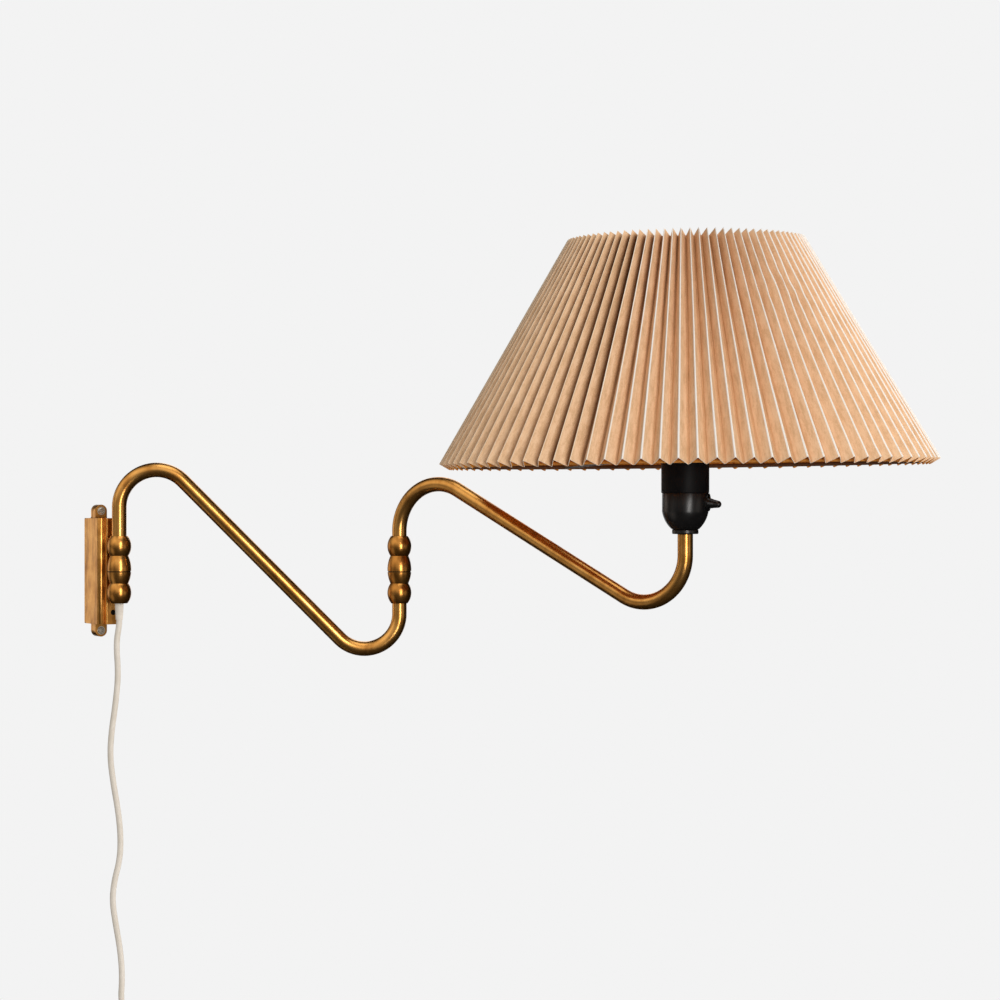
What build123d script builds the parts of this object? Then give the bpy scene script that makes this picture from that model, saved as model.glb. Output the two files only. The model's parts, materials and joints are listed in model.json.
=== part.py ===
from build123d import *
import os
from math import asin, atan2, cos, hypot, pi, radians, sin, sqrt, tan

# Articulated wall lamp: two swinging brass arms on a wall bracket, with a pleated shade.
# Millimetres. The origin is midway between the wall screws, on the wall plane y = 0.
# +Z is up and the lamp stands out from the wall towards -Y.

# Clearances
seat_gap = 0.03
run_gap = 0.05
face_gap = 0.1
touch_gap = 0.3

# Wall bracket
ear_out = 6.2
ear_r = 5.4
ear_t = 6.3
screw_hole_r = 2.25
plate_t = 4.0
bracket_w = 23.0
bracket_depth = 32.0
bracket_wall = 2.2
bracket_edge_r = 3.5
bar_w = 12.6
bar_t = 4.7
bar_edge_r = 0.8
bar_end = 10.2
bar_screw_clear = 4.9
bar_screw_r = 1.25
bar_screw_head_r = 2.3
bar_screw_head_t = 1.3
bar_screw_slot = 0.65
knuckle_standoff = 2.8
lug_w = 8.0
lug_wall = 2.4
knuckle_screw_r = 1.6
knuckle_screw_head_r = 3.0
knuckle_screw_head_t = 2.0
knuckle_screw_bite = 3.4

# Turned knuckles, one above the other on each swing axis, parted at z = 0
neck_wall = 1.5
bead_swell = 2.5
top_end_wall = 1.0
low_end_wall = 0.8
top_bead_h = 16.9
mid_up_h = 13.5
mid_low_h = 10.0
low_bead_h = 17.0
washer_inset = 0.6
washer_t = 1.0
pivot_floor_t = 9.0
flex_room = 0.25
sleeve_wall = 1.25
sleeve_seat = 10.0
sleeve_proud = 1.0
nut_wall = 1.6
nut_room = 0.4
nut_t = 4.2
nut_slot = 1.0
tube_seat_top = 12.4
tube_seat_low = 10.0
knuckle_floor_t = 4.0

# Arms, with the rest direction of each seen from above
tube_r = 6.2
tube_wall = 1.15
arm_1_angle = -31.0
arm_1_reach = 239.0
arm_1_arch_r = 31.8
arm_1_sag_r = 29.8
arm_1_top = 86.8
arm_1_low = -65.8
arm_2_angle = -63.0
arm_2_reach = 276.0
arm_2_arch_r = 40.0
arm_2_sag_r = 38.4
arm_2_top = 74.5
arm_2_low = -21.3
arm_2_end_run = 6.8
flex_gap = 0.4

# Lamp socket, built outwards from the bulb's screw shell
shell_bore_r = 13.4
shell_wall = 0.8
shell_h = 30.0
shell_room = 1.0
barrel_wall = 2.0
barrel_shoulder = 2.0
barrel_step = 0.6
barrel_h = 29.3
thread_h = 16.0
spigot_h = 1.4
insulator_h = 12.0
contact_r = 3.2
contact_t = 2.0
core_hole_r = 1.3
core_hole_room = 4.8
cap_wall = 2.4
cap_foot_r = 10.7
cap_foot_t = 3.4
dome_h = 14.4
dome_bulge = 1.4
lock_ring_r = 10.6
lock_ring_h = 3.6
lock_ring_edge_r = 0.9
nipple_grip = 10.0
nipple_proud = 3.0

# Toggle switch on the socket cap
switch_angle = -48.0
switch_droop = 6.0
switch_margin = 0.25
toggle_pivot_depth = 7.1
toggle_tail_r = 2.2
toggle_tail_in = 2.0
toggle_neck_l = 4.0
toggle_base_r = 4.7
toggle_base_l = 2.9
toggle_cone_l = 5.2
toggle_waist_r = 3.4
toggle_end_l = 6.0
toggle_tip_r = 2.9
toggle_room = 1.25
toggle_pin_r = 0.8
bush_rim = 1.2
bush_proud = 0.9
switch_body_w = 12.0
switch_body_l = 9.0
switch_body_h = 10.4
switch_body_lip = 2.5
switch_slot_room = 0.4

# Pleated shade and its wire frame
shade_low_r = 200.0
shade_top_r = 95.0
shade_h = 177.9
shade_drop = 3.6
pleat_count = 90
pleat_width = 12.2
pleat_phase = -123.0
sheet_rise = 2.4
wire_r = 1.7
fitter_t = 1.6
fitter_lip = 2.8
fitter_gap = 0.3
retainer_wall = 3.0
retainer_h = 6.0
spoke_count = 3
spoke_angle = 90.0
spoke_r = 1.25
top_hoop_drop = 3.0
low_hoop_rise = 2.9
settle_angle = -31.0
settle_aside = 2.65
settle_tilt = 0.7

# Cord, wound spare length and plug
cord_r = 2.5
arc_share = 0.45
relief_head_room = 0.45
relief_head_t = 1.5
relief_neck_wall = 0.97
relief_top_wall = 1.27
relief_end_wall = 0.52
relief_h = 14.0
coil_x = -14.0
coil_z = -436.0
coil_out_r = 39.5
coil_gap = 0.6
coil_turns = 7
coil_start_angle = 28.0
coil_lead = 5.0
coil_tail = 14.0
last_run = 22.0
tie_w = 12.0
tie_t = 1.2
tie_corner_r = 3.0
plug_neck_wall = 0.6
plug_neck_end_wall = 1.9
plug_neck_h = 20.0
plug_w = 34.0
plug_t = 13.6
plug_h = 36.0
plug_shoulder = 10.0
plug_nose = 4.0
plug_edge_r = 2.5
plug_pin_r = 2.0
plug_pin_edge_r = 1.2
plug_pin_l = 19.0
plug_pin_spacing = 19.0

# Hanging cord, as (x, y from the swing axis, z) at each bend between the relief and the wound length
cord_bends = [
    (0.0, 0.0, -46.0),
    (-3.0, -0.3, -61.0),
    (-1.0, -0.7, -88.0),
    (-4.0, -1.0, -114.0),
    (-7.4, -0.4, -137.0),
    (-8.2, 0.6, -158.0),
    (-4.9, 1.0, -181.0),
    (-0.8, 0.4, -204.0),
    (1.1, -0.6, -225.0),
    (0.3, -1.0, -245.0),
    (-4.8, -0.3, -264.0),
    (-6.2, 0.6, -281.0),
    (-2.8, 0.9, -301.0),
    (1.2, 0.2, -324.0),
    (2.7, -0.4, -346.0),
    (1.0, -0.5, -368.0),
]

# Radii that follow from the tube, the cord and the bulb
tube_bore_r = tube_r - tube_wall
neck_r = tube_r + neck_wall
bead_r = neck_r + bead_swell
top_end_r = tube_r + top_end_wall
low_end_r = tube_r + low_end_wall
washer_r = bead_r - washer_inset
sleeve_bore_r = cord_r + flex_room
sleeve_r = sleeve_bore_r + sleeve_wall
nut_r = sleeve_r + nut_wall
chamber_r = nut_r + nut_room
relief_bore_r = cord_r + seat_gap
relief_neck_r = relief_bore_r + relief_neck_wall
barrel_bore_r = shell_bore_r + shell_wall + shell_room
thread_r = barrel_bore_r + barrel_wall
barrel_r = thread_r + barrel_shoulder
cap_r = barrel_r - barrel_step
cap_inner_r = cap_r - cap_wall
fitter_r = barrel_r + fitter_lip
coil_step = 2 * cord_r + coil_gap

# Heights along each knuckle column, above the wall screws' middle
upper_foot_z = washer_t / 2 + face_gap
lower_head_z = -washer_t / 2
upper_neck_z = mid_up_h
lower_neck_z = -mid_low_h
knuckle_top_z = upper_neck_z + top_bead_h
knuckle_low_z = lower_neck_z - low_bead_h
chamber_floor_z = upper_foot_z + pivot_floor_t
nut_z = chamber_floor_z + face_gap
sleeve_top_z = nut_z + nut_t + sleeve_proud
sleeve_low_z = lower_head_z - sleeve_seat
flex_joint_z = sleeve_top_z + sleeve_proud
upper_seat_z = knuckle_top_z - tube_seat_top
lower_seat_z = knuckle_low_z + tube_seat_low
relief_end_z = knuckle_low_z - relief_h

# Heights of the bracket, which reaches past both ends of the knuckle column
bar_screw_z = knuckle_top_z + bar_screw_clear
bracket_h = 2 * (bar_screw_z + bar_end)
screw_spacing = bracket_h + 2 * ear_out

# Heights along the socket
toggle_hole_r = toggle_base_r + toggle_room
cap_h = 2 * (toggle_hole_r + bush_rim + switch_margin)
socket_base_z = arm_2_low + arm_2_sag_r + arm_2_end_run + nipple_grip
lock_ring_top_z = socket_base_z + lock_ring_h
dome_top_z = lock_ring_top_z + dome_h
step_z = dome_top_z + cap_h
shoulder_z = step_z + barrel_h
barrel_top_z = shoulder_z + thread_h
insulator_z = step_z - spigot_h
shell_z = insulator_z + insulator_h
switch_z = (dome_top_z + step_z) / 2

# Swing axes, seen from above
bar_face_out = bracket_depth + bar_t
pivot_out = bar_face_out + knuckle_standoff + bead_r
wall_axis = Vector(0, -pivot_out)
elbow_axis = wall_axis + Vector(arm_1_reach, 0).rotate(Axis.Z, arm_1_angle)
socket_axis = elbow_axis + Vector(arm_2_reach, 0).rotate(Axis.Z, arm_2_angle)


def turned(*lines):
    """Solid of revolution about Z, from profile lines drawn as (radius, height)."""
    return revolve(Plane.XZ * make_face(lines), Axis.Z)


def tube(outer_r, inner_r, low_z, top_z):
    """Upright ring between two heights on the Z axis."""
    ring = Circle(outer_r) - Circle(inner_r)
    return Pos(0, 0, low_z) * extrude(ring, top_z - low_z)


def rod(radius, low_z, top_z):
    """Upright cylinder between two heights on the Z axis."""
    return Pos(0, 0, low_z) * extrude(Circle(radius), top_z - low_z)


def rod_out(radius, near_y, far_y):
    """Cylinder that runs straight out from the wall, between two distances from it."""
    return Pos(0, -near_y, 0) * Rot(90, 0, 0) * extrude(Circle(radius), far_y - near_y)


def bead_arc(start_z, end_z):
    """Part of the middle bead's outline, which swells between the two necks."""
    middle_z = (upper_neck_z + lower_neck_z) / 2
    half_h = (upper_neck_z - lower_neck_z) / 2
    arc_r = (half_h**2 + bead_swell**2) / (2 * bead_swell)

    def point(z):
        return (bead_r - arc_r + sqrt(arc_r**2 - (z - middle_z) ** 2), z)

    return ThreePointArc(point(start_z), point((start_z + end_z) / 2), point(end_z))


# Wall bracket
def ear_sketch():
    """Outline of the two screw ears, joined through the middle."""
    ears = SlotCenterToCenter(screw_spacing, 2 * ear_r, rotation=90)
    return ears - GridLocations(0, screw_spacing, 1, 2) * Circle(screw_hole_r)


def wall_sheet(sketch, near_y, far_y):
    """Upright slab between two distances from the wall, from a sketch seen from the front."""
    return Pos(0, -near_y, 0) * extrude(Plane.XZ * sketch, far_y - near_y)


def wall_plate():
    return wall_sheet(Rectangle(bracket_w, bracket_h) + ear_sketch(), 0, plate_t)


def bracket_body():
    body = wall_sheet(Rectangle(bracket_w, bracket_h), plate_t, bracket_depth)
    front_edges = body.edges().filter_by(Axis.Z).group_by(Axis.Y)[0]
    body = fillet(front_edges, bracket_edge_r)
    ears = wall_sheet(ear_sketch(), plate_t, plate_t + ear_t)
    cavity = Rectangle(bracket_w - 2 * bracket_wall, bracket_h - 2 * bracket_wall)
    body = body + ears - wall_sheet(cavity, plate_t, bracket_depth - bracket_wall)
    body -= Pos(0, 0, -bar_screw_z) * rod_out(bar_screw_r + seat_gap, plate_t, bracket_depth)
    for z in knuckle_screw_heights():
        body -= Pos(0, 0, z) * rod_out(knuckle_screw_r + seat_gap, plate_t, bracket_depth)
    return body


def knuckle_screw_heights():
    """The two heights at which the lower knuckle is screwed to the bar."""
    return ((lower_neck_z + lower_head_z) / 2, (lower_neck_z + knuckle_low_z) / 2)


def pivot_bar():
    """Flat bar up the bracket's front, with a sunk screw near its foot."""
    bar = wall_sheet(Rectangle(bar_w, bracket_h), bracket_depth, bar_face_out)
    bar = fillet(bar.edges().filter_by(Axis.Z).group_by(Axis.Y)[0], bar_edge_r)
    head_out = bar_face_out - bar_screw_head_t
    bar -= Pos(0, 0, -bar_screw_z) * rod_out(bar_screw_r + seat_gap, bracket_depth, head_out)
    bar -= Pos(0, 0, -bar_screw_z) * rod_out(bar_screw_head_r + seat_gap, head_out, bar_face_out)
    for z in knuckle_screw_heights():
        bar -= Pos(0, 0, z) * rod_out(knuckle_screw_r + seat_gap, bracket_depth, bar_face_out)
    return bar


def bar_screw():
    head_out = bar_face_out - bar_screw_head_t
    screw = rod_out(bar_screw_r, bracket_depth - bracket_wall, head_out)
    screw += rod_out(bar_screw_head_r, head_out, bar_face_out)
    screw -= Pos(0, -bar_face_out, 0) * Box(2 * bar_screw_head_r, bar_screw_head_t, bar_screw_slot)
    return Pos(0, 0, -bar_screw_z) * screw


def knuckle_screws():
    inside = bracket_depth - bracket_wall
    screw = rod_out(knuckle_screw_r, inside, bar_face_out + knuckle_standoff + knuckle_screw_bite)
    screw += rod_out(knuckle_screw_head_r, inside - knuckle_screw_head_t, inside)
    return Compound([Pos(0, 0, z) * screw for z in knuckle_screw_heights()])


# Knuckles and pivots
def upper_knuckle():
    """Top bead and upper half of the middle bead, with the arm's seat and the pivot chamber."""
    bore_r = sleeve_r + run_gap
    seat_r = tube_r + seat_gap
    swell = ThreePointArc(
        (neck_r, upper_neck_z), (bead_r, upper_neck_z + top_bead_h / 2), (top_end_r, knuckle_top_z)
    )
    middle = bead_arc(upper_foot_z, upper_neck_z)
    inside = Polyline(
        (top_end_r, knuckle_top_z),
        (seat_r, knuckle_top_z),
        (seat_r, upper_seat_z),
        (chamber_r, upper_seat_z),
        (chamber_r, chamber_floor_z),
        (bore_r, chamber_floor_z),
        (bore_r, upper_foot_z),
        middle @ 0,
    )
    return turned(middle, swell, inside)


def lower_knuckle_lines():
    """Outside of a lower knuckle: lower half of the middle bead and the bottom bead."""
    middle = bead_arc(lower_head_z, lower_neck_z)
    swell = ThreePointArc(
        (neck_r, lower_neck_z), (bead_r, lower_neck_z - low_bead_h / 2), (low_end_r, knuckle_low_z)
    )
    return middle, swell


def lower_knuckle(mouth_r, mouth_z):
    """Lower knuckle with a seat for the pivot sleeve and a mouth of its own below."""
    middle, swell = lower_knuckle_lines()
    seat_r = sleeve_r + seat_gap
    inside = Polyline(
        (low_end_r, knuckle_low_z),
        (mouth_r, knuckle_low_z),
        (mouth_r, mouth_z),
        (tube_bore_r, mouth_z),
        (tube_bore_r, sleeve_low_z),
        (seat_r, sleeve_low_z),
        (seat_r, lower_head_z),
        middle @ 0,
    )
    return turned(middle, swell, inside)


def knuckle_lug():
    """Block behind the fixed knuckle, round its screws, from the bar's face into the knuckle's wall."""
    low_z = min(knuckle_screw_heights()) - knuckle_screw_r - lug_wall
    top_z = max(knuckle_screw_heights()) + knuckle_screw_r + lug_wall
    lug_end = pivot_out - (neck_r + tube_bore_r) / 2
    lug = wall_sheet(Rectangle(lug_w, top_z - low_z), bar_face_out, lug_end)
    return Pos(0, 0, (low_z + top_z) / 2) * lug


def wall_lower_knuckle():
    """Fixed knuckle with its lug on the bar, bored for the cord's relief and for the screws."""
    knuckle = lower_knuckle(relief_neck_r + seat_gap, knuckle_low_z + knuckle_floor_t)
    knuckle = Pos(*wall_axis) * knuckle + knuckle_lug()
    bite_out = bar_face_out + knuckle_standoff + knuckle_screw_bite + seat_gap
    for z in knuckle_screw_heights():
        knuckle -= Pos(0, 0, z) * rod_out(knuckle_screw_r + seat_gap, bar_face_out, bite_out)
    return knuckle


def pivot_sleeve():
    return tube(sleeve_r, sleeve_bore_r, sleeve_low_z, sleeve_top_z)


def thrust_washer():
    return tube(washer_r, sleeve_r + seat_gap, lower_head_z, lower_head_z + washer_t)


def pivot_nut():
    nut = tube(nut_r, sleeve_r + seat_gap, nut_z, nut_z + nut_t)
    slot = Pos(0, 0, nut_z + nut_t) * Box(2 * nut_r, nut_slot, 2 * nut_slot)
    return nut - slot


# Arms
def arm_path(reach, arch_r, sag_r, start_z, top_z, low_z, end_z):
    """Centre line of an arm in its own upright plane: up, over an arch, down, and up again."""
    drop = (top_z - arch_r) - (low_z + sag_r)
    span = reach - arch_r - sag_r
    slope = atan2(drop, span) + asin((arch_r + sag_r) / hypot(drop, span))
    corner = tan((pi / 2 + slope) / 2)
    arch_z = top_z - arch_r + arch_r * corner
    sag_z = low_z + sag_r - sag_r * corner
    corners = ((0, start_z), (0, arch_z), (reach, sag_z), (reach, end_z))
    return FilletPolyline(*corners, radius=[arch_r, sag_r])


def arm_plane(axis, angle):
    """Upright plane through a swing axis, with its own x along the arm and y straight up."""
    return Plane((axis.X, axis.Y, 0), x_dir=Vector(1, 0).rotate(Axis.Z, angle),
                 z_dir=Vector(0, -1).rotate(Axis.Z, angle))


def swept(section, path):
    """Sweep of a section, drawn about its own origin, along a path."""
    return sweep(Plane(path @ 0, z_dir=path % 0) * section, path=path)


def arm_1_line(start_z, end_z):
    path = arm_path(arm_1_reach, arm_1_arch_r, arm_1_sag_r, start_z, arm_1_top, arm_1_low, end_z)
    return arm_plane(wall_axis, arm_1_angle) * path


def arm_2_line(start_z, end_z):
    path = arm_path(arm_2_reach, arm_2_arch_r, arm_2_sag_r, start_z, arm_2_top, arm_2_low, end_z)
    return arm_plane(elbow_axis, arm_2_angle) * path


def arm_1_tube():
    return swept(Circle(tube_r) - Circle(tube_bore_r), arm_1_line(upper_seat_z, lower_seat_z))


def arm_2_tube():
    return swept(Circle(tube_r) - Circle(tube_bore_r), arm_2_line(upper_seat_z, socket_base_z))


def arm_1_flex():
    return swept(Circle(cord_r), arm_1_line(flex_joint_z + flex_gap, flex_joint_z))


def arm_2_flex():
    end_z = lock_ring_top_z + cap_foot_t + nipple_proud + 2 * flex_gap
    return swept(Circle(cord_r), arm_2_line(flex_joint_z + flex_gap, end_z))


# Lamp socket
def socket_nipple():
    top_z = lock_ring_top_z + cap_foot_t + nipple_proud
    return tube(tube_bore_r - seat_gap, sleeve_bore_r, socket_base_z - nipple_grip, top_z)


def socket_lock_ring():
    ring = tube(lock_ring_r, tube_bore_r, socket_base_z, lock_ring_top_z)
    rims = ring.edges().filter_by(GeomType.CIRCLE).sort_by(SortBy.RADIUS)[-2:]
    return fillet(rims, lock_ring_edge_r)


def socket_cap():
    """Domed cap, hollow, bored below for the nipple and at one side for the toggle."""
    low_z = lock_ring_top_z
    floor_z = low_z + cap_foot_t
    dome = SagittaArc((cap_foot_r, low_z), (cap_r, dome_top_z), -dome_bulge)
    under_r = dome.radius - cap_wall

    def under_point(z):
        return (dome.arc_center.X + sqrt(under_r**2 - (z - dome.arc_center.Y) ** 2), z)

    under = ThreePointArc(
        (cap_inner_r, dome_top_z), under_point((dome_top_z + floor_z) / 2), under_point(floor_z)
    )
    side = Polyline(
        (cap_r, dome_top_z), (cap_r, step_z), (cap_inner_r, step_z), (cap_inner_r, dome_top_z)
    )
    foot = Polyline(under @ 1, (tube_bore_r, floor_z), (tube_bore_r, low_z), (cap_foot_r, low_z))
    cap = turned(dome, side, under, foot)
    return cap - switch_frame * toggle_hole()


def toggle_hole():
    """Round opening for the toggle, along the switch's own X axis."""
    return Rot(0, 90, 0) * rod(toggle_hole_r, cap_inner_r - cap_wall, cap_r + cap_wall)


def socket_barrel():
    spigot_r = cap_inner_r - seat_gap
    outline = Polyline(
        (barrel_bore_r, step_z - spigot_h),
        (spigot_r, step_z - spigot_h),
        (spigot_r, step_z),
        (barrel_r, step_z),
        (barrel_r, shoulder_z),
        (thread_r, shoulder_z),
        (thread_r, barrel_top_z),
        (barrel_bore_r, barrel_top_z),
        close=True,
    )
    return turned(outline)


def socket_insulator():
    """Round core that fills the barrel's foot, with a pocket for the contact and two core holes."""
    core = rod(barrel_bore_r - seat_gap, insulator_z, shell_z)
    core -= rod(contact_r + seat_gap, shell_z - contact_t, shell_z)
    holes = PolarLocations(contact_r + core_hole_room, 2, switch_angle + 90)
    return core - holes * rod(core_hole_r, insulator_z, shell_z)


def screw_shell():
    return tube(shell_bore_r + shell_wall, shell_bore_r, shell_z, shell_z + shell_h)


def centre_contact():
    return rod(contact_r, shell_z - contact_t, shell_z)


# Toggle switch, in a frame with X straight out of the cap and Z up
switch_frame = Plane((0, 0, switch_z), x_dir=Vector(1, 0).rotate(Axis.Z, switch_angle))
toggle_pivot_out = cap_r - toggle_pivot_depth


def switch_bush():
    """Collar round the toggle's opening, bedded on the round cap."""
    collar = Rot(0, 90, 0) * tube(toggle_hole_r + bush_rim, toggle_hole_r, 0, cap_r + bush_proud)
    return switch_frame * collar - rod(cap_r + seat_gap, lock_ring_top_z, step_z)


def cross_pin(radius):
    """Level pin through the toggle's pivot, as wide as the switch body."""
    return Pos(toggle_pivot_out, 0, 0) * Rot(90, 0, 0) * Cylinder(radius, switch_body_w)


def switch_body():
    """Block under the insulator, forked for the toggle's tail and bored for its pin."""
    front = toggle_pivot_out + switch_body_lip
    top = insulator_z - switch_z
    block = Box(switch_body_l, switch_body_w, switch_body_h)
    block = Pos(front - switch_body_l / 2, 0, top - switch_body_h / 2) * block
    slot_in = toggle_pivot_out - toggle_tail_in - 2 * switch_slot_room
    slot_w = 2 * (toggle_tail_r + switch_slot_room)
    slot = Pos((slot_in + front) / 2, 0, 0) * Box(front - slot_in, slot_w, 2 * switch_body_h)
    return switch_frame * (block - slot - cross_pin(toggle_pin_r + seat_gap))


def toggle_pin():
    return switch_frame * cross_pin(toggle_pin_r)


def switch_toggle():
    """Lever with a tail on the pin and a waisted cone outside, drooping at rest, drawn up from its pivot."""
    cone_z = toggle_neck_l + toggle_base_l
    waist_z = cone_z + toggle_cone_l
    end_z = waist_z + toggle_end_l
    tip_z = end_z - toggle_tip_r
    tip = ThreePointArc(
        (toggle_tip_r, tip_z),
        (toggle_tip_r * cos(pi / 4), tip_z + toggle_tip_r * sin(pi / 4)),
        (0, end_z),
    )
    sides = Polyline(
        (0, end_z),
        (0, -toggle_tail_in),
        (toggle_tail_r, -toggle_tail_in),
        (toggle_tail_r, toggle_neck_l),
        (toggle_base_r, toggle_neck_l),
        (toggle_base_r, cone_z),
        (toggle_waist_r, waist_z),
        (toggle_tip_r, tip_z),
    )
    lever = turned(tip, sides) - Rot(90, 0, 0) * Cylinder(toggle_pin_r + run_gap, switch_body_w)
    return switch_frame * Pos(toggle_pivot_out, 0, 0) * Rot(0, 90 + switch_droop, 0) * lever


# Shade
shade_slope = atan2(shade_low_r - shade_top_r, shade_h)
shade_low_z = shoulder_z - shade_drop
shade_top_z = shade_low_z + shade_h
fitter_z = shoulder_z + fitter_t / 2


def valley(ridge_r, ridge_z):
    """Radius and height of the valley's end beside a ridge's end, square to the crease."""
    half_pitch = ridge_r * pi / pleat_count
    depth = sqrt(pleat_width**2 - half_pitch**2)
    return ridge_r - depth * cos(shade_slope), ridge_z - depth * sin(shade_slope)


top_hoop_z = valley(shade_top_r, shade_top_z)[1] - top_hoop_drop
low_hoop_z = valley(shade_low_r, shade_low_z)[1] + low_hoop_rise


def valley_radius(z):
    """Radius of the valley creases at a height."""
    low_r, low_z = valley(shade_low_r, shade_low_z)
    top_r, top_z = valley(shade_top_r, shade_top_z)
    return low_r + (top_r - low_r) * (z - low_z) / (top_z - low_z)


def hoop_radius(z):
    """Radius of a wire hoop that lies inside the valley creases at a height."""
    inset = sheet_rise / 2 * sin(shade_slope) + wire_r + touch_gap
    return valley_radius(z) - inset / cos(shade_slope)


def crease(index):
    """Lower and upper end of one crease of the sheet: ridges are even, valleys odd."""
    ends = ((shade_low_r, shade_low_z), (shade_top_r, shade_top_z))
    if index % 2:
        ends = [valley(*end) for end in ends]
    angle = pleat_phase + 180 * index / pleat_count
    return [Vector(r, 0, z).rotate(Axis.Z, angle) for r, z in ends]


def pleated_shade():
    """Zigzag sheet of ruled facets, given its thickness by a shift straight down."""
    lift = Vector(0, 0, sheet_rise / 2)
    creases = [crease(index) for index in range(2 * pleat_count)]
    faces = []
    for (low_a, top_a), (low_b, top_b) in zip(creases, creases[1:] + creases[:1]):
        for shift in (lift, -lift):
            side_a = Edge.make_line(low_a + shift, top_a + shift)
            side_b = Edge.make_line(low_b + shift, top_b + shift)
            faces.append(Face.make_surface_from_curves(side_a, side_b))
        for a, b in ((low_a, low_b), (top_a, top_b)):
            faces.append(Face(Wire.make_polygon([a + lift, b + lift, b - lift, a - lift])))
    return Solid(Shell(faces))


def hoop(z, thickness=wire_r):
    """Wire hoop inside the valley creases at a height."""
    return Pos(0, 0, z) * Torus(hoop_radius(z), thickness)


def shade_fitter_ring():
    return tube(fitter_r, thread_r + fitter_gap, shoulder_z, shoulder_z + fitter_t)


def settled(solid):
    """The shade as it has settled on the socket: a little aside and tipped up towards one side."""
    pivot = Pos(0, 0, fitter_z) * Rot(0, 0, settle_angle)
    return pivot * Pos(settle_aside, 0, 0) * Rot(0, -settle_tilt, 0) * pivot.inverse() * solid


def shade_spokes():
    """Wires that slope from the fitter ring's edge to the lower hoop, cut to the curve of both."""
    start = Vector(thread_r, 0, fitter_z)
    along = Vector(hoop_radius(low_hoop_z), 0, low_hoop_z) - start
    spoke = Plane(start, z_dir=along) * extrude(Circle(spoke_r), along.length)
    spoke -= hoop(low_hoop_z, wire_r + seat_gap)
    ring = rod(fitter_r + seat_gap, shoulder_z - 2 * spoke_r, shoulder_z + fitter_t + 2 * spoke_r)
    turns = [spoke_angle + 360 * index / spoke_count for index in range(spoke_count)]
    return Compound([settled(Rot(0, 0, turn) * spoke) - ring for turn in turns])


def shade_retaining_ring():
    low_z = shoulder_z + fitter_t
    return tube(thread_r + retainer_wall, thread_r + seat_gap, low_z, low_z + retainer_h)


# Cord
def strain_relief():
    """Tapered sleeve round the cord, with a neck and a head that hold it in the knuckle's floor."""
    floor_z = knuckle_low_z + knuckle_floor_t
    head_r = tube_bore_r - relief_head_room
    outline = Polyline(
        (relief_bore_r, relief_end_z),
        (relief_bore_r + relief_end_wall, relief_end_z),
        (relief_bore_r + relief_top_wall, knuckle_low_z),
        (relief_neck_r, knuckle_low_z),
        (relief_neck_r, floor_z),
        (head_r, floor_z),
        (head_r, floor_z + relief_head_t),
        (relief_bore_r, floor_z + relief_head_t),
        close=True,
    )
    return turned(outline)


def wall_flex():
    """The cord's own end, from the relief up through the hollow pivot."""
    return rod(cord_r, relief_end_z, flex_joint_z)


def coil_point(turn):
    """Middle of the wound cord after a number of turns: spiral in, climb a layer, spiral out."""
    half = coil_turns / 2
    radius = coil_out_r - coil_step * (half - abs(half - turn))
    climb = min(max((turn - half) * 2 + 0.5, 0), 1)
    layer = climb**2 * (3 - 2 * climb)
    angle = radians(coil_start_angle) - 2 * pi * turn
    depth = -pivot_out - coil_step * layer
    return Vector(coil_x + radius * cos(angle), depth, coil_z + radius * sin(angle))


def coil_direction(turn):
    step = 0.001
    return (coil_point(turn + step) - coil_point(turn - step)).normalized()


def biarc(start, start_dir, end, end_dir):
    """Two arcs from one point and direction to another, smooth where they meet."""
    chord = end - start
    both = start_dir + end_dir
    spread = 2 * (1 - start_dir.dot(end_dir))
    along = chord.dot(both)
    reach = (sqrt(along**2 + spread * chord.dot(chord)) - along) / spread
    middle = (start + end + (start_dir - end_dir) * reach) / 2
    middle_dir = (end - end_dir * reach - start - start_dir * reach).normalized()
    return [TangentArc(start, middle, tangent=start_dir), TangentArc(middle, end, tangent=middle_dir)]


def coil_path():
    """Straight lead, quarter turns as pairs of arcs, straight tail."""
    quarters = [quarter / 4 for quarter in range(4 * coil_turns + 1)]
    edges = [Line(coil_point(0) - coil_direction(0) * coil_lead, coil_point(0))]
    for a, b in zip(quarters, quarters[1:]):
        edges += biarc(coil_point(a), coil_direction(a), coil_point(b), coil_direction(b))
    edges.append(Line(coil_point(coil_turns), coil_end()))
    return Wire(edges)


def coil_end():
    return coil_point(coil_turns) + coil_direction(coil_turns) * coil_tail


def coil_self_gap():
    """Least free gap between stretches of the wound cord that aren't neighbours on it."""
    per_turn = 72
    points = [coil_point(index / per_turn) for index in range(per_turn * coil_turns + 1)]
    apart = per_turn // 2
    least = min(
        (points[b] - points[a]).length
        for a in range(len(points))
        for b in range(a + apart, len(points))
    )
    return least - 2 * cord_r


def cord_coil():
    return swept(Circle(cord_r), coil_path())


def cord_route():
    """Points of the hanging cord, from the relief to the start of the wound length."""
    start = Vector(0, -pivot_out, relief_end_z)
    bends = [Vector(x, y - pivot_out, z) for x, y, z in cord_bends]
    into_coil = coil_direction(0)
    end = coil_point(0) - into_coil * coil_lead
    return [start, *bends, end - into_coil * last_run, end]


def route_radii(points):
    """Largest easy radius at each bend: a share of the shorter run over the tangent of half the turn."""
    radii = []
    for before, corner, after in zip(points, points[1:], points[2:]):
        run_in = corner - before
        run_out = after - corner
        turn = radians(run_in.get_angle(run_out))
        radii.append(arc_share * min(run_in.length, run_out.length) / tan(turn / 2))
    return radii


def cord_tube():
    points = cord_route()
    radii = route_radii(points)
    path = FilletPolyline(*points, radius=radii)
    cord = swept(Circle(cord_r), path)
    expected = pi * cord_r**2 * path.length
    print("cord bend radii", [round(radius) for radius in radii])
    print("cord length %.1f, volume over section times length %.5f" % (path.length, cord.volume / expected))
    return cord


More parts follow.
